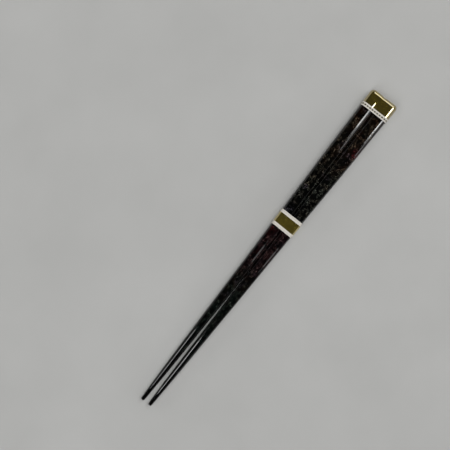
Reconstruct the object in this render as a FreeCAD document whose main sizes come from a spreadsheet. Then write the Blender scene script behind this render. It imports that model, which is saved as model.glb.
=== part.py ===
# A pair of lacquered chopsticks, with a foil paper band round the middle and a cap of it on the heads.
# X runs from the tips to the heads, Y across the pair, Z up. The origin is the centre of the underside.
# All sizes are in millimetres.
import FreeCAD, Part
import math
import os
import Sketcher

# Driving dimensions: name, value, what it is. Places along X are measured from the tips.
SIZES = (
    ("length", 235.0, "stick, from tip to head"),
    ("head_width", 9.45, "square section at the head"),
    ("head_corner", 2.7, "radius of the long edges at the head"),
    ("shoulder_back", 45.0, "from the shoulder, where the taper quickens, to the head"),
    ("shoulder_width", 8.7, "square section at the shoulder"),
    ("shoulder_corner", 2.45, "radius of the long edges at the shoulder"),
    ("fork_place", 107.0, "where the two sticks part"),
    ("fork_width", 6.65, "square section at the fork"),
    ("fork_corner", 1.9, "radius of the long edges at the fork"),
    ("grip_place", 75.0, "between the fork and the lower stick"),
    ("grip_width", 5.7, "section there"),
    ("grip_corner", 1.87, "radius of the long edges there"),
    ("lower_place", 40.0, "where the lower stick has become nearly round"),
    ("lower_width", 4.5, "nearly round section there"),
    ("lower_corner", 2.05, "radius of the long edges there"),
    ("nose_place", 12.0, "where the tip begins"),
    ("nose_width", 3.2, "nearly round section there"),
    ("nose_corner", 1.48, "radius of the long edges there"),
    ("tip_place", 0.0, "end of the tip"),
    ("tip_width", 2.3, "nearly round section at the end of the tip"),
    ("tip_corner", 1.06, "radius of the long edges at the end of the tip"),
    ("tip_round", 0.9, "rounding of the end of the tip"),
    ("tip_spacing", 5.5, "between the centres of the two tips"),
    ("tip_lift", 1.55, "clear height under the tips"),
    ("head_round", 1.2, "rounding of the edges of the head's end"),
    ("stick_clearance", 0.04, "between the two sticks above the fork"),
    ("paper", 0.25, "thickness of the foil paper"),
    ("paper_clearance", 0.08, "between the paper and the lacquer"),
    ("lap_width", 8.0, "glued overlap under the band and under the cap"),
    ("band_place", 134.3, "band's edge nearest to the tips"),
    ("band_length", 10.9, "band, along the sticks"),
    ("cap_depth", 12.4, "cap, from its mouth to its closed end"),
    ("valley_depth", 0.45, "dip of the cap's top between the sticks, at the mouth"),
    ("valley_fade", 0.02, "dip where the valley runs out"),
    ("valley_length", 7.5, "from the mouth to there"),
    ("pinch_depth", 0.35, "dent in the cap's end between the sticks"),
    ("pinch_half", 1.1, "half the width of the dent"),
)
LEFT = 1
RIGHT = -1
SAME_PLACE = 0.001


def set_cell(sheet, row, alias, content, note=""):
    """Write one named cell, with its name on its left and a note on its right."""
    sheet.set(f"A{row}", alias)
    sheet.set(f"B{row}", content)
    sheet.set(f"C{row}", note)
    sheet.setAlias(f"B{row}", alias)


def make_sizes(doc):
    """The driving dimensions, as plain numbers."""
    sheet = doc.addObject("Spreadsheet::Sheet", "sizes")
    for row, (alias, value, note) in enumerate(SIZES, start=1):
        set_cell(sheet, row, alias, str(value), note)


def stick_sections():
    """Formulas for the left stick's sections.

    Above the fork its inner side and its underside are straight, and the other two sides taper.
    Below the fork its centre line runs straight to the centre of the tip.
    """
    sections = {
        "head": {"place": "sizes.length"},
        "shoulder": {"place": "sizes.length - sizes.shoulder_back"},
        "fork": {"place": "sizes.fork_place"},
    }
    for name, section in sections.items():
        section["across"] = f"(sizes.stick_clearance + sizes.{name}_width) / 2"
        section["height"] = f"rest_height + sizes.{name}_width / 2"
    for name in ("grip", "lower", "nose", "tip"):
        place = f"sizes.{name}_place"
        share = f"({place} / fork_place)"
        across = f"sizes.tip_spacing / 2 * (1 - {share}) + fork_across * {share}"
        height = f"(sizes.tip_lift + sizes.tip_width / 2) * (1 - {share}) + fork_height * {share}"
        sections[name] = {"place": place, "across": across, "height": height}
    for name, section in sections.items():
        section["wide"] = f"sizes.{name}_width"
        section["tall"] = f"sizes.{name}_width"
        section["corner"] = f"sizes.{name}_corner"
    return sections


def paper_section(place, below, above, gap):
    """Formulas for a section round both sticks, gap off them, between two of their sections."""
    share = f"(({place}) - {below}_place) / ({above}_place - {below}_place)"
    width = f"({below}_wide + ({above}_wide - {below}_wide) * {share})"
    corner = f"({below}_corner + ({above}_corner - {below}_corner) * {share})"
    return {
        "place": place,
        "across": "0",
        "height": f"rest_height + {width} / 2",
        "wide": f"2 * {width} + sizes.stick_clearance + 2 * ({gap})",
        "tall": f"{width} + 2 * ({gap})",
        "corner": f"{corner} + {gap}",
    }


def paper_sections():
    """Formulas for the inner and outer sections of the band and the cap."""
    inner = "sizes.paper_clearance"
    outer = "sizes.paper_clearance + sizes.paper"
    band_end = "sizes.band_place + sizes.band_length"
    mouth = f"sizes.length + {outer} - sizes.cap_depth"
    valley_end = f"{mouth} + sizes.valley_length"
    return {
        "band_inner_near": paper_section("sizes.band_place", "fork", "shoulder", inner),
        "band_outer_near": paper_section("sizes.band_place", "fork", "shoulder", outer),
        "band_inner_far": paper_section(band_end, "fork", "shoulder", inner),
        "band_outer_far": paper_section(band_end, "fork", "shoulder", outer),
        "cap_inner_mouth": paper_section(mouth, "shoulder", "head", inner),
        "cap_outer_mouth": paper_section(mouth, "shoulder", "head", outer),
        "cap_inner_valley": paper_section(valley_end, "shoulder", "head", inner),
        "cap_outer_valley": paper_section(valley_end, "shoulder", "head", outer),
        "cap_inner_end": paper_section(f"sizes.length + {inner}", "shoulder", "head", inner),
        "cap_outer_end": paper_section(f"sizes.length + {outer}", "shoulder", "head", outer),
    }


def make_places(doc):
    """What follows from the driving dimensions: each section's place, centre, size and edge radius."""
    sheet = doc.addObject("Spreadsheet::Sheet", "places")
    set_cell(sheet, 1, "rest_height", "=2 * sizes.paper + sizes.paper_clearance", "under the sticks")
    set_cell(sheet, 2, "whole_length", "=sizes.length + sizes.paper_clearance + sizes.paper", "with cap")
    set_cell(sheet, 3, "inner_round", "=sizes.head_round + sizes.paper_clearance", "in the cap's end")
    set_cell(sheet, 4, "outer_round", "=inner_round + sizes.paper", "outside the cap's end")
    row = 5
    for name, section in {**stick_sections(), **paper_sections()}.items():
        for key, formula in section.items():
            set_cell(sheet, row, f"{name}_{key}", f"={formula}")
            row += 1
    doc.recompute()
    return sheet


def plane(body, role):
    """One of the body's own origin planes."""
    return next(feature for feature in body.Origin.OriginFeatures if feature.Role == role)


def cross_sketch(body, name, place):
    """An empty sketch across the sticks at a place along them: its x is Y and its y is Z."""
    sketch = body.newObject("Sketcher::SketchObject", name)
    sketch.AttachmentSupport = [(plane(body, "YZ_Plane"), "")]
    sketch.MapMode = "FlatFace"
    sketch.setExpression(".AttachmentOffset.Base.z", place)
    return sketch


def bind(sketch, kind, targets, value, formula):
    """Add a dimension, and bind it to a formula."""
    index = sketch.addConstraint(Sketcher.Constraint(kind, *targets, value))
    sketch.setExpression(f"Constraints[{index}]", formula)


def draw_polygon(sketch, corners):
    """Straight sides from each corner to the next, joined at their ends."""
    count = len(corners)
    for turn, corner in enumerate(corners):
        following = corners[(turn + 1) % count]
        sketch.addGeometry(Part.LineSegment(FreeCAD.Vector(*corner), FreeCAD.Vector(*following)))
    for line in range(count):
        sketch.addConstraint(Sketcher.Constraint("Coincident", line, 2, (line + 1) % count, 1))


def draw_outline(sketch, left, right, low, top, corner):
    """Four sides joined by four arcs, anticlockwise: the underside is 0 and the arc on its right 1."""
    vector = FreeCAD.Vector
    quarter = math.pi / 2
    arcs = (
        (vector(right - corner, low + corner), -quarter),
        (vector(right - corner, top - corner), 0),
        (vector(left + corner, top - corner), quarter),
        (vector(left + corner, low + corner), 2 * quarter),
    )
    for turn, (centre, start) in enumerate(arcs):
        outward = vector(math.cos(start), math.sin(start)) * corner
        sketch.addGeometry(Part.LineSegment(arcs[turn - 1][0] + outward, centre + outward))
        circle = Part.Circle(centre, vector(0, 0, 1), corner)
        sketch.addGeometry(Part.ArcOfCircle(circle, start, start + quarter))


def rounded_section(body, places, name, side=LEFT):
    """The sketch of one section of the sheet of places, mirrored for the right stick."""
    sketch = cross_sketch(body, f"{body.Label}_{name}", f"places.{name}_place")
    keys = ("across", "height", "wide", "tall", "corner")
    numbers = {key: places.get(f"{name}_{key}") for key in keys}
    left = side * numbers["across"] - numbers["wide"] / 2
    low = numbers["height"] - numbers["tall"] / 2
    right = left + numbers["wide"]
    top = low + numbers["tall"]
    draw_outline(sketch, left, right, low, top, numbers["corner"])
    for line in (0, 2, 4, 6):
        sketch.addConstraint(Sketcher.Constraint("Tangent", line, 2, line + 1, 1))
        sketch.addConstraint(Sketcher.Constraint("Tangent", line + 1, 2, (line + 2) % 8, 1))
        sketch.addConstraint(Sketcher.Constraint("Horizontal" if line % 4 == 0 else "Vertical", line))
    for arc in (3, 5, 7):
        sketch.addConstraint(Sketcher.Constraint("Equal", 1, arc))
    middle = f"{side} * places.{name}_across"
    bind(sketch, "Radius", (1,), numbers["corner"], f"places.{name}_corner")
    bind(sketch, "DistanceX", (-1, 1, 6, 1), left, f"{middle} - places.{name}_wide / 2")
    bind(sketch, "DistanceX", (-1, 1, 2, 1), right, f"{middle} + places.{name}_wide / 2")
    bind(sketch, "DistanceY", (-1, 1, 0, 1), low, f"places.{name}_height - places.{name}_tall / 2")
    bind(sketch, "DistanceY", (-1, 1, 4, 1), top, f"places.{name}_height + places.{name}_tall / 2")
    return sketch


def loft(body, kind, name, sketches, ruled=True):
    """Loft through the sketches: kind is AdditiveLoft or SubtractiveLoft."""
    feature = body.newObject(f"PartDesign::{kind}", name)
    feature.Profile = sketches[0]
    feature.Sections = sketches[1:]
    feature.Ruled = ruled
    for sketch in sketches:
        sketch.Visibility = False
    body.Document.recompute()
    return feature


def edges_at(feature, place):
    """Names of the edges that lie in the plane across X at a place."""
    names = []
    for number, edge in enumerate(feature.Shape.Edges, start=1):
        box = edge.BoundBox
        if max(abs(box.XMin - place), abs(box.XMax - place)) < SAME_PLACE:
            names.append(f"Edge{number}")
    return names


def fillet(body, name, base, place, radius):
    """Round the edges of the flat end at a place."""
    feature = body.newObject("PartDesign::Fillet", name)
    feature.Base = (base, edges_at(base, place))
    feature.setExpression("Radius", radius)
    body.Document.recompute()
    return feature


def make_body(doc, name):
    """A body on the sticks' own axes, moved so that the origin is under the middle of the length."""
    body = doc.addObject("PartDesign::Body", name)
    body.Label = name
    body.setExpression(".Placement.Base.x", "-places.whole_length / 2")
    return body


def make_stick(doc, places, name, side):
    """One stick: a ruled upper half with flat sides, and a smooth lower half that grows round."""
    body = make_body(doc, name)
    upper = [rounded_section(body, places, key, side) for key in ("head", "shoulder", "fork")]
    lower = [rounded_section(body, places, key, side) for key in ("grip", "lower", "nose", "tip")]
    loft(body, "AdditiveLoft", f"{name}_upper", upper)
    whole = loft(body, "AdditiveLoft", f"{name}_lower", upper[-1:] + lower, ruled=False)
    blunt = fillet(body, f"{name}_tip_round", whole, places.get("tip_place"), "sizes.tip_round")
    fillet(body, f"{name}_head_round", blunt, places.get("head_place"), "sizes.head_round")
    return body


def prism(body, kind, name, sketch, length):
    """Run the sketch's outline along its normal: kind is Pad or Pocket."""
    feature = body.newObject(f"PartDesign::{kind}", name)
    feature.Profile = sketch
    feature.Reversed = kind == "Pocket"
    feature.setExpression("Length", length)
    sketch.Visibility = False
    body.Document.recompute()


def lap_pad(body, name, place, length):
    """The glued overlap: a second layer of paper under the first, down to the resting plane."""
    sketch = cross_sketch(body, f"{name}_outline", place)
    draw_polygon(sketch, ((-1, 0), (1, 0), (1, 1), (-1, 1)))
    for line, way in enumerate(("Horizontal", "Vertical", "Horizontal", "Vertical")):
        sketch.addConstraint(Sketcher.Constraint(way, line))
    sketch.addConstraint(Sketcher.Constraint("PointOnObject", 0, 1, -1))
    bind(sketch, "DistanceX", (-1, 1, 0, 1), -1, "-sizes.lap_width / 2")
    bind(sketch, "DistanceX", (-1, 1, 1, 1), 1, "sizes.lap_width / 2")
    bind(sketch, "DistanceY", (-1, 1, 2, 1), 1, "sizes.paper")
    prism(body, "Pad", name, sketch, length)


def sheet_tube(body, places, piece, ends):
    """The paper round both sticks: an outer loft, hollowed out by an inner one."""
    outer = [rounded_section(body, places, f"{piece}_outer_{end}") for end in ends]
    inner = [rounded_section(body, places, f"{piece}_inner_{end}") for end in ends]
    loft(body, "AdditiveLoft", f"{piece}_outside", outer)
    return loft(body, "SubtractiveLoft", f"{piece}_inside", inner)


def make_band(doc, places):
    """The band: one strip round both sticks, straight across the groove between them."""
    body = make_body(doc, "paper_band")
    sheet_tube(body, places, "band", ("near", "far"))
    lap_pad(body, "band_lap", "sizes.band_place", "sizes.band_length")
    return body


def fold_outline(sketch, half, brink, bottom, cover):
    """A V from one brink down to the bottom and up to the other, closed by straight sides above."""
    draw_polygon(sketch, ((-1, 1), (0, 0), (1, 1), (1, 2), (-1, 2)))
    for line, way in ((2, "Vertical"), (3, "Horizontal"), (4, "Vertical")):
        sketch.addConstraint(Sketcher.Constraint(way, line))
    sketch.addConstraint(Sketcher.Constraint("PointOnObject", 0, 2, -2))
    sketch.addConstraint(Sketcher.Constraint("Symmetric", 0, 1, 1, 2, -2))
    bind(sketch, "DistanceY", (-1, 1, 3, 1), 2, cover)
    bind(sketch, "DistanceY", (-1, 1, 1, 2), 1, brink)
    bind(sketch, "DistanceY", (-1, 1, 0, 2), 0, bottom)
    bind(sketch, "DistanceX", (-1, 1, 1, 2), 1, half)


def valley(body, kind, name, face, cover):
    """The cap's top dips between the sticks: filled under the sheet, then cut above it."""
    sketches = []
    for place, depth in (("mouth", "sizes.valley_depth"), ("valley", "sizes.valley_fade")):
        station = f"places.cap_{face}_{place}"
        sketch = cross_sketch(body, f"{name}_{place}", f"{station}_place")
        top = f"{station}_height + {station}_tall / 2"
        half = f"places.cap_inner_{place}_corner"
        fold_outline(sketch, half, top, f"{top} - {depth}", f"{top} + {cover}")
        sketches.append(sketch)
    loft(body, kind, name, sketches)


def pinch(body, kind, name, face, cover):
    """The cap's end dents in between the sticks' rounded ends: filled inside, then cut outside."""
    end = f"places.cap_{face}_end"
    sketch = body.newObject("Sketcher::SketchObject", f"{name}_outline")
    sketch.AttachmentSupport = [(plane(body, "XY_Plane"), "")]
    sketch.MapMode = "FlatFace"
    towards_heads = FreeCAD.Rotation(FreeCAD.Vector(0, 0, 1), -90)
    sketch.AttachmentOffset = FreeCAD.Placement(FreeCAD.Vector(), towards_heads)
    sketch.setExpression(".AttachmentOffset.Base.z", f"{end}_height - {end}_tall / 2")
    brink = f"{end}_place"
    fold_outline(sketch, "sizes.pinch_half", brink, f"{brink} - sizes.pinch_depth", f"{brink} + {cover}")
    prism(body, kind, name, sketch, f"{end}_tall")


def make_cap(doc, places):
    """The cap: one sheet folded over both heads, open towards the tips and closed at its end."""
    body = make_body(doc, "head_cap")
    hollow = sheet_tube(body, places, "cap", ("mouth", "end"))
    inner_end = places.get("cap_inner_end_place")
    outer_end = places.get("cap_outer_end_place")
    inside = fillet(body, "cap_inside_round", hollow, inner_end, "places.inner_round")
    fillet(body, "cap_outside_round", inside, outer_end, "places.outer_round")
    valley(body, "AdditiveLoft", "cap_valley_inside", "inner", "sizes.paper / 2")
    valley(body, "SubtractiveLoft", "cap_valley_outside", "outer", "sizes.paper")
    pinch(body, "Pad", "cap_pinch_inside", "inner", "sizes.paper / 2")
    pinch(body, "Pocket", "cap_pinch_outside", "outer", "sizes.paper")
    lap_pad(body, "cap_lap", "places.cap_outer_mouth_place", "sizes.cap_depth - places.outer_round")
    return body


def check_body(body):
    """Stop if the piece isn't one valid solid, or one of its features changed nothing."""
    shape = body.Shape
    if shape.isNull() or not shape.isValid() or len(shape.Solids) != 1:
        raise RuntimeError(f"{body.Label} isn't one valid solid")
    volume = 0
    for feature in body.Group:
        if not feature.isDerivedFrom("PartDesign::Feature"):
            continue
        change = feature.Shape.Volume - volume
        grows = feature.TypeId in ("PartDesign::AdditiveLoft", "PartDesign::Pad")
        cuts = feature.TypeId in ("PartDesign::SubtractiveLoft", "PartDesign::Pocket")
        if change == 0 or (grows and change < 0) or (cuts and change > 0):
            raise RuntimeError(f"{feature.Label} changed the volume by {change}")
        volume = feature.Shape.Volume


def check(doc, bodies):
    """Stop if any object of the document failed, or any piece is unsound."""
    for item in doc.Objects:
        if {"Invalid", "Error"} & set(item.State):
            raise RuntimeError(f"{item.Label} failed: {item.State}")
    for body in bodies:
        check_body(body)


def main():
    doc = FreeCAD.newDocument("chopsticks")
    make_sizes(doc)
    places = make_places(doc)
    bodies = (
        make_stick(doc, places, "chopstick_left", LEFT),
        make_stick(doc, places, "chopstick_right", RIGHT),
        make_band(doc, places),
        make_cap(doc, places),
    )
    doc.recompute()
    check(doc, bodies)
    os.makedirs("parts", exist_ok=True)
    for body in bodies:
        body.Shape.exportStep(f"parts/{body.Label}.step")
        print(body.Label, round(body.Shape.Volume, 2), body.Shape.optimalBoundingBox(False))


main()
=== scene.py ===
"""Looks of a pair of lacquered chopsticks in gold foil paper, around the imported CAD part.

Metres, Z up. The tips point to -X and the heads, in their cap, to +X.
"""
import math

import bpy
import numpy as np
from mathutils import Matrix, Vector, noise


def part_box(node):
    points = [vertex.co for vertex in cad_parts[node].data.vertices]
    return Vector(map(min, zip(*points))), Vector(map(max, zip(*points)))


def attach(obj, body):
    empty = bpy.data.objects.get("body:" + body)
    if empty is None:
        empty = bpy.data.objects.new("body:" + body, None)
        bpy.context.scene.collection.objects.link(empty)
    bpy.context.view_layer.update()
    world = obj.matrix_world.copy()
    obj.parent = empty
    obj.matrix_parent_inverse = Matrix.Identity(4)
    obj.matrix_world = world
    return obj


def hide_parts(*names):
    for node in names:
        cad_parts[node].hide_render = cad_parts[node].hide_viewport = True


MM = 0.001
PER_MM = 1000  # turns metres into millimetres, the unit in which the textures are scaled

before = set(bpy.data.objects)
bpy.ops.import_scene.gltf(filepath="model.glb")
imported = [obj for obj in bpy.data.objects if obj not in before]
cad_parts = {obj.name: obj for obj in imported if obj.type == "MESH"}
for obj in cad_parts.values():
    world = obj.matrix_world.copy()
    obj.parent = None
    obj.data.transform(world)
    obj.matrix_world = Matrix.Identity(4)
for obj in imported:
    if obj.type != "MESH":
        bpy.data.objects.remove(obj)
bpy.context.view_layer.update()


# ---------------------------------------------------------------- materials

NOISE_RANGE = (0.3, 0.7)  # where most of a noise texture's values lie
PLAIN_BLACK = (0.0002, 0.0002, 0.0002)
RED_GROUND = (0.007, 0.0010, 0.0012)
RED_MOTTLES = (0.085, 0.012, 0.014)
VIOLET_MOTTLES = (0.050, 0.034, 0.060)
FLOOR_DARK, FLOOR_LIGHT = (0.405, 0.405, 0.395), (0.44, 0.44, 0.43)
LAMP_HEIGHT = 1.4  # how far the soft boxes' planes are from the frame's origin, in metres
FAR_GLOW = 0.8  # how strongly the floor shows its own colour where the lamps no longer reach


class Nodes:
    """A material's node tree, with short calls for the nodes used here."""

    def __init__(self, name):
        self.material = bpy.data.materials.new(name)
        self.material.use_nodes = True
        self.tree = self.material.node_tree
        self.tree.nodes.clear()
        self.output = self.node("ShaderNodeOutputMaterial")

    def node(self, kind, settings=None, **inputs):
        """A new node. An input's name is written with _ for each space."""
        made = self.tree.nodes.new(kind)
        for key, value in (settings or {}).items():
            setattr(made, key, value)
        for key, value in inputs.items():
            self.put(made.inputs[key.replace("_", " ")], value)
        return made

    def put(self, socket, value):
        """Links another node's output to a socket, or sets a constant on it."""
        if isinstance(value, bpy.types.NodeSocket):
            self.tree.links.new(value, socket)
        else:
            socket.default_value = value

    def math(self, operation, *values):
        made = self.node("ShaderNodeMath", {"operation": operation})
        for socket, value in zip(made.inputs, values):
            self.put(socket, value)
        return made.outputs[0]

    def vector(self, operation, *values):
        made = self.node("ShaderNodeVectorMath", {"operation": operation})
        for socket, value in zip(made.inputs, values):
            self.put(socket, value)
        return made.outputs["Value" if operation in ("DISTANCE", "DOT_PRODUCT") else "Vector"]

    def place(self, *scale):
        """The object's own coordinates, in the row frame, times a scale per metre."""
        coordinates = self.node("ShaderNodeTexCoord").outputs["Object"]
        return self.node("ShaderNodeMapping", Vector=coordinates, Scale=scale).outputs[0]

    def noise(self, vector, scale, detail=2.0, roughness=0.5, distortion=0.0, colour=False):
        made = self.node("ShaderNodeTexNoise", Vector=vector, Scale=scale, Detail=detail,
                         Roughness=roughness, Distortion=distortion)
        return made.outputs["Color" if colour else "Fac"]

    def ramp(self, fac, stops):
        """Greys or colours that ease from one (place, value) stop to the next."""
        made = self.node("ShaderNodeValToRGB", Fac=fac)
        ramp = made.color_ramp
        ramp.interpolation = "EASE"
        while len(ramp.elements) < len(stops):
            ramp.elements.new(1.0)
        for element, (place, colour) in zip(ramp.elements, stops):
            element.position = place
            grey = not isinstance(colour, tuple)
            element.color = (colour, colour, colour, 1) if grey else (*colour, 1)
        return made.outputs["Color"]

    def mix(self, fac, a, b):
        """Colour a where fac is 0, b where it is 1."""
        made = self.node("ShaderNodeMix", {"data_type": "RGBA"})
        factor_socket, a_socket, b_socket, result_socket = 0, 6, 7, 2
        for index, value in ((factor_socket, fac), (a_socket, a), (b_socket, b)):
            if isinstance(value, tuple):
                value = (*value, 1)
            self.put(made.inputs[index], value)
        return made.outputs[result_socket]

    def spread(self, value, source, target=(0.0, 1.0)):
        """The value with its source range stretched to the target range, and clamped to it."""
        made = self.node("ShaderNodeMapRange", Value=value)
        for key, number in zip(("From Min", "From Max", "To Min", "To Max"), (*source, *target)):
            made.inputs[key].default_value = number
        return made.outputs[0]

    def bump(self, height, distance, under=None):
        """A normal tilted by a height of 0 to 1 times a distance in metres."""
        made = self.node("ShaderNodeBump", Height=height, Distance=distance)
        if under is not None:
            self.put(made.inputs["Normal"], under)
        return made.outputs[0]

    def finish(self, **inputs):
        """The finished material, its shader's inputs named as in node()."""
        shader = self.node("ShaderNodeBsdfPrincipled")
        for key, value in inputs.items():
            if isinstance(value, tuple):
                value = (*value, 1)
            self.put(shader.inputs[key.replace("_", " ")], value)
        self.put(self.output.inputs["Surface"], shader.outputs[0])
        return self.material


def layer_tints(n, share):
    """Colours of the mottles and of the ground under them: share is 0 at the tips, 1 at the heads.

    They are the layers' own colours, before red and violet places are laid over them.
    """
    mottles = n.ramp(share, (
        (0.00, (0.030, 0.028, 0.027)),
        (0.20, (0.034, 0.046, 0.042)),
        (0.38, (0.052, 0.060, 0.048)),
        (0.43, (0.060, 0.034, 0.035)),
        (0.57, (0.054, 0.032, 0.036)),
        (0.62, (0.054, 0.058, 0.051)),
        (0.76, (0.059, 0.057, 0.045)),
        (0.84, (0.066, 0.050, 0.036)),
        (1.00, (0.060, 0.043, 0.029)),
    ))
    ground = n.ramp(share, (
        (0.00, (0.0006, 0.0006, 0.0006)),
        (0.20, (0.0006, 0.0008, 0.0007)),
        (0.33, (0.0008, 0.0018, 0.0014)),
        (0.39, (0.0022, 0.0015, 0.0012)),
        (0.45, (0.0046, 0.0013, 0.0018)),
        (0.57, (0.0038, 0.0012, 0.0017)),
        (0.62, (0.0008, 0.0012, 0.0011)),
        (0.74, (0.0010, 0.0011, 0.0008)),
        (0.84, (0.0030, 0.0018, 0.0010)),
        (0.92, (0.0048, 0.0020, 0.0011)),
        (1.00, (0.0046, 0.0024, 0.0011)),
    ))
    return mottles, ground


def red_places(n, place, spots):
    """1 where the red layer shows and 0 elsewhere, with ragged edges."""
    ragged = n.math("MULTIPLY_ADD", n.noise(place, 0.45, detail=3.0, roughness=0.6), 9.0, -4.5)
    flat = n.place(PER_MM, PER_MM, 0)
    red = 0.0
    for x, y, radius in spots:
        far = n.math("ADD", n.vector("DISTANCE", flat, (x, y, 0)), ragged)
        red = n.math("MAXIMUM", red, n.spread(far, (radius * 0.5, radius), (1.0, 0.0)))
    return red


def lacquer_material(name, seed, strength, gloss, spots):
    """Polished black lacquer over mottled coloured layers, whose tint changes along the sticks.

    strength is how much the mottles show, and gloss is the top coat's index of refraction.
    spots are where the red layer shows, each as (x, y, radius) in mm.
    """
    n = Nodes(name)
    low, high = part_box("chopstick_left")
    place = n.place(PER_MM, PER_MM, PER_MM)
    along = n.node("ShaderNodeSeparateXYZ", Vector=place).outputs["X"]

    # the mottles: level lines of a warped relief, as left by polishing through wavy layers
    warp = n.noise(place, 0.35, colour=True)
    warped = n.vector("MULTIPLY_ADD", warp, (2.6, 2.6, 2.6), place)
    layers = n.node("ShaderNodeMapping", Vector=warped, Location=(seed, 0, 0),
                    Scale=(0.85, 1.0, 1.0)).outputs[0]
    relief = n.noise(layers, 0.92, detail=3.0, roughness=0.6, distortion=0.6)
    wisps = n.ramp(relief, ((0.0, 0.25), (0.33, 0.0), (0.462, 0.0), (0.495, 1.0), (0.53, 0.06),
                            (0.62, 0.0), (0.70, 1.0)))
    clusters = n.ramp(n.noise(layers, 0.40), ((0.45, 0.0), (0.62, 1.0)))

    # the tints of the layers, warmer in one place and cooler in the next
    wander = n.math("MULTIPLY_ADD", n.noise(place, 0.05), 40.0, -20.0)
    share = n.spread(n.math("ADD", along, wander), (low.x / MM, high.x / MM))
    tint, deep = layer_tints(n, share)
    cool = n.spread(n.noise(place, 0.17), (0.42, 0.58))
    tint = n.vector("MULTIPLY", tint, n.mix(cool, (1.08, 0.98, 0.90), (0.93, 1.02, 1.02)))
    deep = n.vector("MULTIPLY", deep, n.mix(cool, (1.25, 0.92, 0.78), (0.78, 1.06, 1.08)))
    red = red_places(n, place, spots)
    violet = n.ramp(n.noise(place, 0.11, detail=1.0), ((0.56, 0.0), (0.68, 0.5)))
    tint = n.mix(violet, tint, VIOLET_MOTTLES)
    tint = n.mix(red, tint, RED_MOTTLES)
    ground = n.mix(n.spread(n.noise(place, 0.3), (0.35, 0.65)), PLAIN_BLACK, deep)
    ground = n.mix(red, ground, RED_GROUND)

    # the tips are nearly plain black, and fine bright flecks lie where the layers are thickest
    much = n.ramp(share, ((0.0, 0.03), (0.22, 0.38), (0.40, 0.58), (0.50, 0.8), (0.62, 1.0),
                          (1.0, 0.9)))
    wispy = n.math("MULTIPLY", wisps, clusters)
    amount = n.math("MULTIPLY", wispy, n.math("MULTIPLY", much, strength))
    flecks = n.ramp(n.noise(place, 1.35, roughness=0.6), ((0.60, 0.0), (0.67, 1.0)))
    fleck_amount = n.math("MULTIPLY", flecks, n.math("MULTIPLY", much, clusters))
    colour = n.mix(n.math("MULTIPLY", amount, 0.85), ground, tint)
    colour = n.mix(fleck_amount, colour, n.vector("MULTIPLY", tint, (2.3, 2.25, 2.15)))

    # the coat's surface: long polishing waves, and the faintest step at each mottle
    normal = n.bump(n.noise(place, 0.25, detail=1.0), 0.02 * MM)
    normal = n.bump(relief, 0.003 * MM, under=normal)
    rough = n.spread(n.noise(place, 6.0), NOISE_RANGE, (0.03, 0.055))
    return n.finish(Base_Color=colour, Roughness=rough, IOR=gloss, Normal=normal)


def foil_material(name, dark, light):
    """Gold foil on paper under a clear film: a smooth metal print over faint fibres."""
    n = Nodes(name)
    place = n.place(PER_MM, PER_MM, PER_MM)
    blotch = n.noise(place, 0.35, detail=3.0, roughness=0.6)
    colour = n.mix(n.spread(blotch, (0.40, 0.60)), dark, light)
    stretched = n.place(0.5 * PER_MM, 1.5 * PER_MM, 1.5 * PER_MM)
    creases = n.noise(stretched, 0.5, detail=3.0, distortion=0.6)
    fibres = n.noise(place, 5.0, detail=3.0, roughness=0.6)
    normal = n.bump(creases, 0.012 * MM)
    normal = n.bump(fibres, 0.0012 * MM, under=normal)
    rough = n.spread(fibres, NOISE_RANGE, (0.08, 0.13))
    return n.finish(Base_Color=colour, Metallic=0.87, Roughness=rough, Normal=normal,
                    Coat_Weight=1.0, Coat_Roughness=0.04, Coat_IOR=3.0)


def paper_fibres(n):
    """Fine fibres, a little longer along the sticks than across them."""
    place = n.place(0.9 * PER_MM, 1.5 * PER_MM, 1.5 * PER_MM)
    return n.noise(place, 3.0, detail=4.0, roughness=0.65)


def paper_material(name, light, dark, rough):
    """Uncoated paper, with its fibres."""
    n = Nodes(name)
    fibres = paper_fibres(n)
    return n.finish(Base_Color=n.mix(n.spread(fibres, NOISE_RANGE), dark, light),
                    Roughness=n.spread(fibres, NOISE_RANGE, (rough - 0.06, rough + 0.06)),
                    Normal=n.bump(fibres, 0.012 * MM))


def rule_material(name, pitch, dot_size, light, ink):
    """A dotted rule printed on the paper, its dots a pitch apart.

    The wrap attribute's X runs round the sticks and its Y across the rule, in metres.
    dot_size is a dot's radius in pitches.
    """
    n = Nodes(name)
    wrap = n.node("ShaderNodeAttribute", {"attribute_name": "wrap"}).outputs["Vector"]
    parts = n.node("ShaderNodeSeparateXYZ", Vector=wrap).outputs
    around = n.math("PINGPONG", n.math("DIVIDE", parts["X"], pitch), 0.5)
    across = n.math("DIVIDE", parts["Y"], pitch)
    squares = n.math("ADD", n.math("MULTIPLY", around, around), n.math("MULTIPLY", across, across))
    far = n.math("SQRT", squares)
    soft = 0.03  # half the width of a dot's soft edge, in pitches
    dot = n.ramp(far, ((dot_size - soft, 1.0), (dot_size + soft, 0.0)))
    fibres = paper_fibres(n)
    ground = n.mix(fibres, tuple(value * 0.85 for value in light), light)
    return n.finish(Base_Color=n.mix(dot, ground, ink),
                    Roughness=n.spread(fibres, NOISE_RANGE, (0.4, 0.5)))


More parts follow.
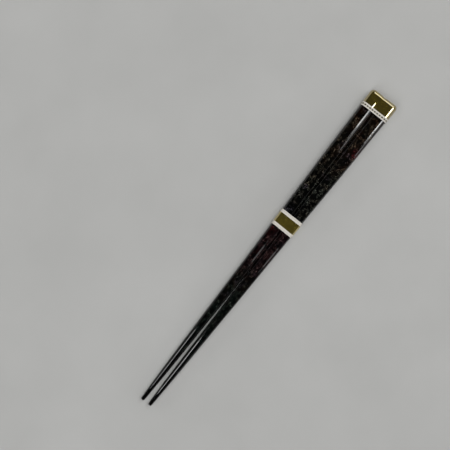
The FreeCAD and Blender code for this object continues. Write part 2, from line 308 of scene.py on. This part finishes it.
def floor_material():
    """Pale matt paper, which gives no light of its own.

    The lamps light it less the farther out it is. There the camera and reflections see its colour
    glow instead, so that it stays about as pale.
    """
    n = Nodes("studio_floor")
    place = n.place(1, 1, 1)
    cloud = n.noise(place, 14.0, detail=3.0, roughness=0.55)
    colour = n.mix(n.spread(cloud, NOISE_RANGE), FLOOR_DARK, FLOOR_LIGHT)
    # light from one height falls off with the fourth power of the cosine
    flat = n.vector("MULTIPLY", place, (1 / LAMP_HEIGHT, 1 / LAMP_HEIGHT, 0))
    lit = n.math("POWER", n.math("ADD", n.vector("DOT_PRODUCT", flat, flat), 1.0), -2.0)
    rays = n.node("ShaderNodeLightPath").outputs
    mirrored = n.math("MAXIMUM", rays["Is Glossy Ray"], rays["Is Transmission Ray"])
    seen = n.math("MAXIMUM", rays["Is Camera Ray"], mirrored)
    glow = n.math("MULTIPLY", n.math("MULTIPLY_ADD", lit, -FAR_GLOW, FAR_GLOW), seen)
    return n.finish(Base_Color=colour, Roughness=n.spread(cloud, NOISE_RANGE, (0.7, 0.8)),
                    Specular_IOR_Level=0.2, Emission_Color=colour, Emission_Strength=glow)


# ---------------------------------------------------------------- meshes

def add_object(name, points, faces, materials):
    """A smooth mesh object in the scene."""
    mesh = bpy.data.meshes.new(name)
    mesh.from_pydata(points, [], faces)
    mesh.polygons.foreach_set("use_smooth", [True] * len(faces))
    for material in materials:
        mesh.materials.append(material)
    made = bpy.data.objects.new(name, mesh)
    bpy.context.scene.collection.objects.link(made)
    return made


def between(start, end, share):
    return start + (end - start) * share


def smooth_step(value):
    value = min(max(value, 0.0), 1.0)
    return value * value * (3 - 2 * value)


# ---------------------------------------------------------------- sticks

AROUND = 120  # points round a stick
TIP_STEPS = (0.02, 0.07, 0.15, 0.27, 0.42, 0.6, 0.85, 1.3, 2.0, 3.0)  # rows' mm from its tip
STICK_STEP = 2 * MM  # between the rows along its body
HEAD_ROWS = 8  # over the rounding of its head
HEAD_SHORT = 0.65 * MM  # how far the head stops inside the CAD's
HEAD_ROUND = 2.4 * MM
CUT_MARGIN = 1.3 * MM  # the CAD is cut no nearer than this to its head's end, which is rounded
KINK = 5 * MM  # how far to each side of a row the CAD's taper is averaged
AVERAGED = 3  # cuts to each side for that
INSIDE = 0.998  # the section's size against the CAD's, before it is turned


def cut(node, places):
    """The CAD stick cut across X at each place.

    Each row is its middle in y and z, half its width, and how far its corners reach.
    """
    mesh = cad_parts[node].data
    points = np.empty(len(mesh.vertices) * 3)
    mesh.vertices.foreach_get("co", points)
    pairs = np.empty(len(mesh.edges) * 2, dtype=int)
    mesh.edges.foreach_get("vertices", pairs)
    starts, ends = (points.reshape(-1, 3)[pairs.reshape(-1, 2)[:, k]] for k in (0, 1))
    found = []
    for place in places:
        before, after = starts[:, 0] - place, ends[:, 0] - place
        crossing = before * after < 0
        # a level edge, which crosses nowhere, is kept from dividing by zero
        share = (before / (before - after + (before == after)))[crossing, None]
        section = (starts[crossing] * (1 - share) + ends[crossing] * share)[:, 1:]
        low, high = section.min(axis=0), section.max(axis=0)
        middle = (low + high) / 2
        half = (high - low).mean() / 2
        reach = np.abs(section - middle).sum(axis=1).max() / math.sqrt(2)
        found.append((*middle, half, reach))
    return np.array(found)


def stick_rows(node):
    """The skin's rows from tip to head: places along X, insets, and the CAD's cuts there.

    The head's end, which the cap hides, is rounded so that it stays under the cap's folds.
    """
    low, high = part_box(node)
    tip = [low.x + step * MM for step in TIP_STEPS]
    end = high.x - HEAD_SHORT
    bends = [math.pi / 2 * k / HEAD_ROWS for k in range(HEAD_ROWS + 1)]
    head = [end - HEAD_ROUND * (1 - math.sin(bend)) for bend in bends]
    body = list(np.arange(tip[-1] + STICK_STEP, head[0] - STICK_STEP / 2, STICK_STEP))
    places = tip + body + head
    insets = [0.0] * (len(tip) + len(body)) + [HEAD_ROUND * (1 - math.cos(bend)) for bend in bends]
    cuts = cut(node, [min(place, high.x - CUT_MARGIN) for place in places])
    # the taper changes gently, not at a line
    as_cut = math.ceil(KINK / STICK_STEP)
    calm = slice(len(tip) + as_cut, len(tip) + len(body) - as_cut)
    nearby = [cut(node, [place + KINK * k / AVERAGED for place in places[calm]])
              for k in range(-AVERAGED, AVERAGED + 1)]
    cuts[calm] = np.mean(nearby, axis=0)
    return places, insets, cuts


def build_stick(name, node, squareness, roll, material):
    """The stick's skin: the CAD's taper, its faces crowned a little as hand polishing leaves them.

    squareness takes the section from a circle, at 0, to the CAD's square with round edges, at 1.
    roll turns it about its own length, in degrees, top towards -Y.
    """
    places, insets, cuts = stick_rows(node)
    turn = math.radians(roll)
    points, faces = [], []
    for place, inset, (y, z, half, reach) in zip(places, insets, cuts):
        # the section is |y|^power + |z|^power = half^power, its corners as far out as the CAD's
        power = math.log(2) / math.log(math.sqrt(2) * half / reach)
        power = between(2, power, squareness)
        half = half * INSIDE - inset
        for k in range(AROUND):
            angle = 2 * math.pi * (k + 0.5) / AROUND
            across, up = math.cos(angle), math.sin(angle)
            radius = half / (abs(across) ** power + abs(up) ** power) ** (1 / power)
            turned_across = across * math.cos(turn) + up * math.sin(turn)
            turned_up = up * math.cos(turn) - across * math.sin(turn)
            points.append((place, y - turned_across * radius, z + turned_up * radius))
    for row in range(len(places) - 1):
        first = row * AROUND
        for k in range(AROUND):
            after = (k + 1) % AROUND
            faces.append((first + k, first + after, first + AROUND + after, first + AROUND + k))
    tip_end, head_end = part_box(node)[0].x, places[-1]
    for row, end in ((0, tip_end), (len(places) - 1, head_end)):
        centre = len(points)
        points.append((end, *cuts[row][:2]))
        for k in range(AROUND):
            ring = (row * AROUND + k, row * AROUND + (k + 1) % AROUND)
            faces.append((centre, *(ring[::-1] if row == 0 else ring)))
    stick = add_object(name, points, faces, [material])
    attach(stick, "root")
    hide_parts(node)


# ---------------------------------------------------------------- foil paper pieces

PAPER = 0.15 * MM
CAD_PAPER = 0.25 * MM  # one layer of the CAD's paper, such as its lap's outer one
ROW_STEP = 0.25 * MM  # between the rows along X
LAP = 8 * MM
LAP_RAMP = 1.6 * MM  # over which the sheet steps down to lap over itself
LAP_LEAD = 2.0 * MM  # how far before the lap that step begins
LAP_GAP = 0.04 * MM
LAP_TAIL = 0.22 * MM  # counted as the distance from the last station but one to the sheet's edge
SUNK = 0.08 * MM  # the sheet's mean depth under the CAD's surface, which leaves room for its dents
SMALLEST_CORNER = 0.02 * MM
LEVEL = 0.99  # an outward z beyond this is on the flat top or, below zero, on the underside
FLAP = 6.4 * MM  # how far the cap's top and bottom flaps reach over its end
FLAP_EDGE = 0.3 * MM  # over which a flap's edge steps up
FLAP_STEP = 0.13 * MM  # from one flap to the next
GOLD, WHITE, RULE = 0, 1, 2  # the order of a sheet's printed materials; its bare paper comes last
BAND_SEED, CAP_SEED, CAP_END_SEED = 3.0, 11.0, 17.0  # for the crinkles


def wrapped(half, low, high, radius, inset, counts):
    """Stations of a sheet that goes once round a rounded rectangle across X and laps over itself.

    It starts under the middle, at the lap's inner end, and goes to +Y, up, over the top, down and
    along the bottom to the lap's outer end. Each station is (distance walked, y, z, outward y,
    outward z). counts are the stations along the bottom, up a side, over the top, round a corner,
    and from the last corner to the lap, so their number doesn't change with the size or the inset.
    """
    half, low, high = half - inset, low + inset, high - inset
    corner = max(radius - inset, SMALLEST_CORNER)
    flat_y, flat_z = half - corner, (high - low) / 2 - corner
    middle = (low + high) / 2
    lap_half = min(LAP / 2, flat_y)
    bottom, side, top, arc, to_lap = counts
    quarter = math.pi / 2
    stations = []
    walked = 0.0

    def run(start, end, outward, count):
        nonlocal walked
        length = math.dist(start, end)
        for k in range(count):
            share = k / count
            y, z = (between(a, b, share) for a, b in zip(start, end))
            stations.append((walked + length * share, y, z, *outward))
        walked += length

    def turn(centre, start, count):
        nonlocal walked
        for k in range(count):
            angle = start + quarter * k / count
            out = (math.cos(angle), math.sin(angle))
            stations.append((walked + corner * quarter * k / count,
                             centre[0] + out[0] * corner, centre[1] + out[1] * corner, *out))
        walked += corner * quarter

    run((-lap_half, low), (flat_y, low), (0, -1), bottom)
    turn((flat_y, middle - flat_z), -quarter, arc)
    run((half, middle - flat_z), (half, middle + flat_z), (1, 0), side)
    turn((flat_y, middle + flat_z), 0, arc)
    run((flat_y, high), (-flat_y, high), (0, 1), top)
    turn((-flat_y, middle + flat_z), quarter, arc)
    run((-half, middle + flat_z), (-half, middle - flat_z), (-1, 0), side)
    turn((-flat_y, middle - flat_z), 2 * quarter, arc)
    run((-flat_y, low), (-lap_half, low), (0, -1), to_lap)
    run((-lap_half, low), (lap_half, low), (0, -1), bottom)
    stations.append((stations[-1][0] + LAP_TAIL, lap_half, low, 0, -1))
    return stations


def crinkle(around, along, seed):
    """Small dents and folds of thin foil paper, in metres."""
    place = Vector((around / MM * 0.35, along / MM * 0.22, seed))
    broad = noise.noise(place)
    fold = 1 - abs(noise.noise(place * 2.3 + Vector((0, 0, 5)))) * 2
    fine = noise.noise(place * 5.1)
    return (0.020 * broad + 0.010 * max(fold, 0) ** 4 + 0.003 * fine) * MM


def lap_drop(distance, whole):
    """How far the sheet lies under the tube where it laps over its own start."""
    ramp_start = whole - LAP - LAP_LEAD
    return smooth_step((distance - ramp_start) / LAP_RAMP) * (PAPER + LAP_GAP)


def resting(lift):
    """The lift on the underside, which lies nearly flat with nothing that stands out."""
    return min(lift, 0.0) * 0.3


def trough(y, depth, flat_half, slope):
    """The depth at y of a trough along the middle: flat to flat_half, gone a slope farther out."""
    return depth * (1 - smooth_step((abs(y) - flat_half) / slope))


def sheet(name, rows, materials, zones):
    """A sheet through rows of points, given its thickness inwards.

    A point is (x, y, z, wrap x, wrap y). zones gives the printed material of each row of faces.
    """
    count = len(rows[0])
    points = [tuple(point[:3]) for row in rows for point in row]
    faces = [(r * count + c, r * count + c + 1, (r + 1) * count + c + 1, (r + 1) * count + c)
             for r in range(len(rows) - 1) for c in range(count - 1)]
    piece = add_object(name, points, faces, materials)
    wrap = piece.data.attributes.new("wrap", "FLOAT_VECTOR", "POINT")
    wrap.data.foreach_set(
        "vector", [value for row in rows for point in row for value in (*point[3:5], 0.0)])
    piece.data.polygons.foreach_set(
        "material_index", [zone for zone in zones for _ in range(count - 1)])
    solid = piece.modifiers.new("thickness", "SOLIDIFY")
    solid.thickness = PAPER
    solid.offset = -1
    solid.use_even_offset = False
    # the inside and the rim are the last material, bare paper
    solid.material_offset = len(materials)
    solid.material_offset_rim = len(materials) - 1
    return piece


def ends_of(node):
    """(place, half width, top) of a CAD tube at each of its ends along X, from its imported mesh."""
    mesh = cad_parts[node].data
    low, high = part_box(node)
    found = []
    for place in (low.x, high.x):
        near = [v.co for v in mesh.vertices if abs(v.co.x - place) < 0.02 * MM]
        found.append((place, max(c.y for c in near), max(c.z for c in near)))
    return found


def divided(stops):
    """Places from the first stop to the last, about a row apart, with every stop among them."""
    places = [stops[0]]
    for start, end in zip(stops, stops[1:]):
        count = max(1, round((end - start) / ROW_STEP))
        places += [start + (end - start) * k / count for k in range(1, count + 1)]
    return places


def printed_zones(places, stops, printed):
    """The material of each row of faces, from what is printed between one stop and the next."""
    middles = [(start + end) / 2 for start, end in zip(places, places[1:])]
    return [printed[sum(middle > stop for stop in stops[1:-1])] for middle in middles]


def build_band(materials):
    """The band: gold between two white borders, each with a fine dotted rule along it."""
    (near, near_half, near_top), (far, far_half, far_top) = ends_of("paper_band")
    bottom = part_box("paper_band")[0].z + CAD_PAPER
    length = far - near
    border, rule_in, half_rule = 2.05 * MM, 0.8 * MM, 0.2 * MM
    near_radius, far_radius = 2.35 * MM, 2.43 * MM
    askew = 0.02  # the near edge is cut a little out of square
    counts = (46, 18, 46, 16, 16)
    rules = (rule_in, length - rule_in)
    stops = (0.0, rules[0] - half_rule, rules[0] + half_rule, border,
             length - border, rules[1] - half_rule, rules[1] + half_rule, length)
    places = divided(stops)
    rows = []
    for along in places:
        share = along / length
        half = between(near_half, far_half, share)
        top = between(near_top, far_top, share)
        radius = between(near_radius, far_radius, share)
        stations = wrapped(half, bottom, top, radius, 0.0, counts)
        whole = stations[-1][0]
        rule = min(rules, key=lambda middle: abs(middle - along))
        row = []
        for distance, y, z, out_y, out_z in stations:
            lift = crinkle(distance, along, BAND_SEED) - SUNK
            if out_z > LEVEL:
                # the top dips a little between the sticks
                lift -= trough(y, 0.05 * MM, 0.0, 2.6 * MM)
            if out_z < -LEVEL:
                lift = resting(lift)
            x = near + along + y * askew * (1 - share)
            row.append((x, y + out_y * lift, z + out_z * lift - lap_drop(distance, whole),
                        distance, along - rule))
        rows.append(row)
    zones = printed_zones(places, stops, (WHITE, RULE, WHITE, GOLD, WHITE, RULE, WHITE))
    return sheet("foil_band", rows, materials, zones)


def flap_shown(y, z, half, low, high):
    """Which flap shows at a point of the end: 0 a side one, 1 the top one, 2 the bottom one.

    It runs smoothly from one to the next over a flap's edge.
    """
    side = half - abs(y)
    over_top = smooth_step(min(side - (high - z), FLAP - (high - z)) / FLAP_EDGE + 0.5)
    over_bottom = smooth_step(min(side - (z - low), FLAP - (z - low)) / FLAP_EDGE + 0.5)
    return max(over_top, 2 * over_bottom)


def build_cap(materials):
    """The cap: a white border with a dotted rule at its mouth, gold beyond, and a folded end."""
    (mouth, mouth_half, mouth_top), _ = ends_of("head_cap")
    low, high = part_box("head_cap")
    bottom = low.z + CAD_PAPER
    # how far in the folded end lies, how round its edge is, and how near its rows come to meeting
    end_in, rounding, end_left = 0.2 * MM, 2.6 * MM, 0.02 * MM
    mouth_radius, end_radius = 2.92 * MM, 2.98 * MM
    fade_from, fade_length = 4.0 * MM, 5.0 * MM
    dent_depth, dent_middle, dent_half = 0.35 * MM, 0.5 * MM, 1.1 * MM
    rounding_rows, end_rows = 12, 18
    counts = (50, 22, 50, 16, 16)
    depth = high.x - end_in - mouth
    stops = (0.0, 0.8 * MM, 1.7 * MM, 2.55 * MM, depth - rounding)
    rule_middle = (stops[1] + stops[2]) / 2

    # rows as (along, inset): along the tube, round the end's edge, then in towards its middle
    plan = [(along, 0.0) for along in divided(stops)]
    for k in range(1, rounding_rows + 1):
        angle = math.pi / 2 * k / rounding_rows
        plan.append((depth - rounding * (1 - math.sin(angle)), rounding * (1 - math.cos(angle))))
    deepest = (high.z - bottom) / 2 - end_left
    for k in range(1, end_rows + 1):
        plan.append((depth, rounding + (deepest - rounding) * k / end_rows))

    rows = []
    for along, inset in plan:
        share = along / depth
        half = between(mouth_half, high.y, share)
        top = between(mouth_top, high.z, share)
        radius = between(mouth_radius, end_radius, share)
        stations = wrapped(half, bottom, top, radius, inset, counts)
        whole = stations[-1][0]
        near_mouth = 1 - smooth_step((along - fade_from) / fade_length)
        turned = smooth_step((along - depth + rounding) / rounding)
        folded = smooth_step((inset - 0.6 * rounding) / rounding)
        row = []
        for distance, y, z, out_y, out_z in stations:
            lift = crinkle(distance, along, CAP_SEED) - SUNK
            if out_z > LEVEL and inset < rounding:
                # near the mouth the top follows the sticks' edges down a little between them
                valley = trough(y, 0.06 * MM, 0.0, 3.0 * MM)
                crease = trough(y, 0.075 * MM, 2.45 * MM, 0.9 * MM)
                lift -= (valley + crease) * near_mouth
            if out_z < -LEVEL:
                lift = resting(lift)
            # the end is pushed in between the heads, and steps down from flap to flap
            dent = dent_depth * math.exp(-((y - dent_middle) / dent_half) ** 2) * turned
            steps = (2 - flap_shown(y, z, half, bottom, top)) * FLAP_STEP * folded
            x = mouth + along - dent - steps
            if inset >= rounding:
                x += crinkle(y * 1.3, z * 1.3, CAP_END_SEED) - 0.03 * MM
            drop = lap_drop(distance, whole) * max(0.0, 1 - inset / MM)
            row.append((x, y + out_y * lift, z + out_z * lift - drop,
                        distance, along - rule_middle))
        rows.append(row)
    zones = printed_zones([along for along, _ in plan], stops, (WHITE, RULE, WHITE, GOLD))
    return sheet("foil_cap", rows, materials, zones)


# ---------------------------------------------------------------- pieces

build_stick("lacquer_stick_left", "chopstick_left", squareness=0.48, roll=0.0,
            material=lacquer_material("lacquer_left", seed=0.0, strength=1.0, gloss=1.5,
                                      spots=[(12.5, 7.5, 4.5)]))
build_stick("lacquer_stick_right", "chopstick_right", squareness=1.0, roll=-2.5,
            material=lacquer_material("lacquer_right", seed=40.0, strength=0.9, gloss=1.62,
                                      spots=[(80, -7.5, 4.5)]))

band_gold = foil_material("band_gold", dark=(0.42, 0.315, 0.028), light=(0.54, 0.41, 0.044))
# painted shade: the cap's gold is the band's gold made darker, so that its flat top looks dimmer
# than the band's
cap_gold_painted_shade = foil_material("cap_gold_painted_shade", dark=(0.29, 0.213, 0.015), light=(0.37, 0.272, 0.021))
white = paper_material("white_print", light=(0.62, 0.59, 0.54), dark=(0.54, 0.51, 0.46),
                       rough=0.5)
backing = paper_material("paper_back", light=(0.62, 0.60, 0.55), dark=(0.50, 0.48, 0.44),
                         rough=0.7)
cap_rule = rule_material("cap_rule", pitch=1.8 * MM, dot_size=0.31,
                         light=(0.46, 0.43, 0.34), ink=(0.03, 0.022, 0.015))
band_rule = rule_material("band_rule", pitch=0.55 * MM, dot_size=0.24,
                          light=(0.60, 0.57, 0.52), ink=(0.30, 0.27, 0.20))

band = build_band((band_gold, white, band_rule, backing))
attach(band, "root")
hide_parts("paper_band")

cap = build_cap((cap_gold_painted_shade, white, cap_rule, backing))
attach(cap, "root")
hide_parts("head_cap")


# ---------------------------------------------------------------- stage, lights and camera

FLOOR_PROFILE = ((0.3, 0.0), (1.0, 0.0), (2.0, 0.0), (2.5, 0.04), (2.9, 0.16), (3.2, 0.42),
                 (3.35, 0.85), (3.4, 1.4))  # (radius, height) of its rings, in metres
FLOOR_AROUND = 64
ROOM_LIGHT = (0.018, 0.018, 0.018, 1)
CAMERA_PLACE = Vector((10.15, 28.7, 450)) * MM
CAMERA_TARGET = Vector((-1.8, 28.8, 5)) * MM
CAMERA_UP = Vector((0.7876, 0.6162, 0))
CAMERA_LENS, CAMERA_SENSOR = 58.7, 36  # in mm


def build_floor():
    """A pale round floor that curves up into a backdrop far away."""
    points = [(0.0, 0.0, 0.0)]
    for radius, height in FLOOR_PROFILE:
        for k in range(FLOOR_AROUND):
            angle = 2 * math.pi * k / FLOOR_AROUND
            points.append((radius * math.cos(angle), radius * math.sin(angle), height))
    faces = [(0, 1 + k, 1 + (k + 1) % FLOOR_AROUND) for k in range(FLOOR_AROUND)]
    for ring in range(len(FLOOR_PROFILE) - 1):
        first = 1 + ring * FLOOR_AROUND
        beyond = first + FLOOR_AROUND
        for k in range(FLOOR_AROUND):
            after = (k + 1) % FLOOR_AROUND
            faces.append((first + k, beyond + k, beyond + after, first + after))
    floor = add_object("floor", points, faces, [floor_material()])


def lamp(name, low, high, radiance, in_reflections=True):
    """A soft box that fills the sky between two corners.

    They are tilts from straight up, in degrees: towards +X, then towards +Y.
    """
    corners = [Vector((math.tan(math.radians(to_x)), math.tan(math.radians(to_y)), 1))
               for to_x, to_y in (low, high)]
    facing = ((corners[0] + corners[1]) / 2).normalized()
    across = (Vector((1, 0, 0)) - facing * facing.x).normalized()
    up = facing.cross(across)
    spans = [corner / corner.dot(facing) * LAMP_HEIGHT for corner in corners]
    wide = abs((spans[1] - spans[0]).dot(across))
    tall = abs((spans[1] - spans[0]).dot(up))
    light = bpy.data.lights.new(name, "AREA")
    light.shape = "RECTANGLE"
    light.size, light.size_y = wide, tall
    light.energy = radiance * math.pi * wide * tall
    made = bpy.data.objects.new(name, light)
    turned = Matrix((across, up, facing)).transposed().to_4x4()
    made.matrix_world = Matrix.Translation((spans[0] + spans[1]) / 2) @ turned
    made.visible_camera = False
    made.visible_glossy = in_reflections
    bpy.context.scene.collection.objects.link(made)


def build_world():
    world = bpy.data.worlds.new("studio")
    world.use_nodes = True
    tree = world.node_tree
    tree.nodes.clear()
    background = tree.nodes.new("ShaderNodeBackground")
    output = tree.nodes.new("ShaderNodeOutputWorld")
    background.inputs["Color"].default_value = ROOM_LIGHT
    tree.links.new(background.outputs[0], output.inputs["Surface"])
    bpy.context.scene.world = world


def build_camera():
    ahead = (CAMERA_TARGET - CAMERA_PLACE).normalized()
    right = ahead.cross(CAMERA_UP).normalized()
    camera = bpy.data.cameras.new("camera")
    camera.sensor_width = CAMERA_SENSOR
    camera.lens = CAMERA_LENS
    camera.clip_start = 0.01
    made = bpy.data.objects.new("camera", camera)
    turned = Matrix((right, right.cross(ahead), -ahead)).transposed().to_4x4()
    made.matrix_world = Matrix.Translation(CAMERA_PLACE) @ turned
    bpy.context.scene.collection.objects.link(made)
    bpy.context.scene.camera = made


build_floor()
build_world()
# plain light from above and both sides; reflections leave it out, as it would grey the lacquer
lamp("overhead", (-50, -8), (50, 8), 4.0, in_reflections=False)
lamp("left_fill", (-45, 58), (45, 74), 2.0, in_reflections=False)
lamp("right_fill", (-45, -74), (45, -58), 2.0, in_reflections=False)
# smaller lights, whose reflections are the highlights along the sticks and on the foil
lamp("window", (14.3, -28), (21, -13), 9.8)
lamp("window_edge", (12.9, -28), (14.3, -13), 3.5)
lamp("window_side", (15, -50), (24, -28), 1.8)
lamp("end_window", (30, -25), (60, 25), 1.6)
lamp("tip_light", (-25, 19), (-18, 32), 9.5)
lamp("tip_end_light", (-66, -22), (-33, 22), 1.0)
lamp("middle_light", (-6.3, -30), (-3.3, -9), 1.3)
build_camera()
bpy.context.scene.view_settings.view_transform = "Standard"
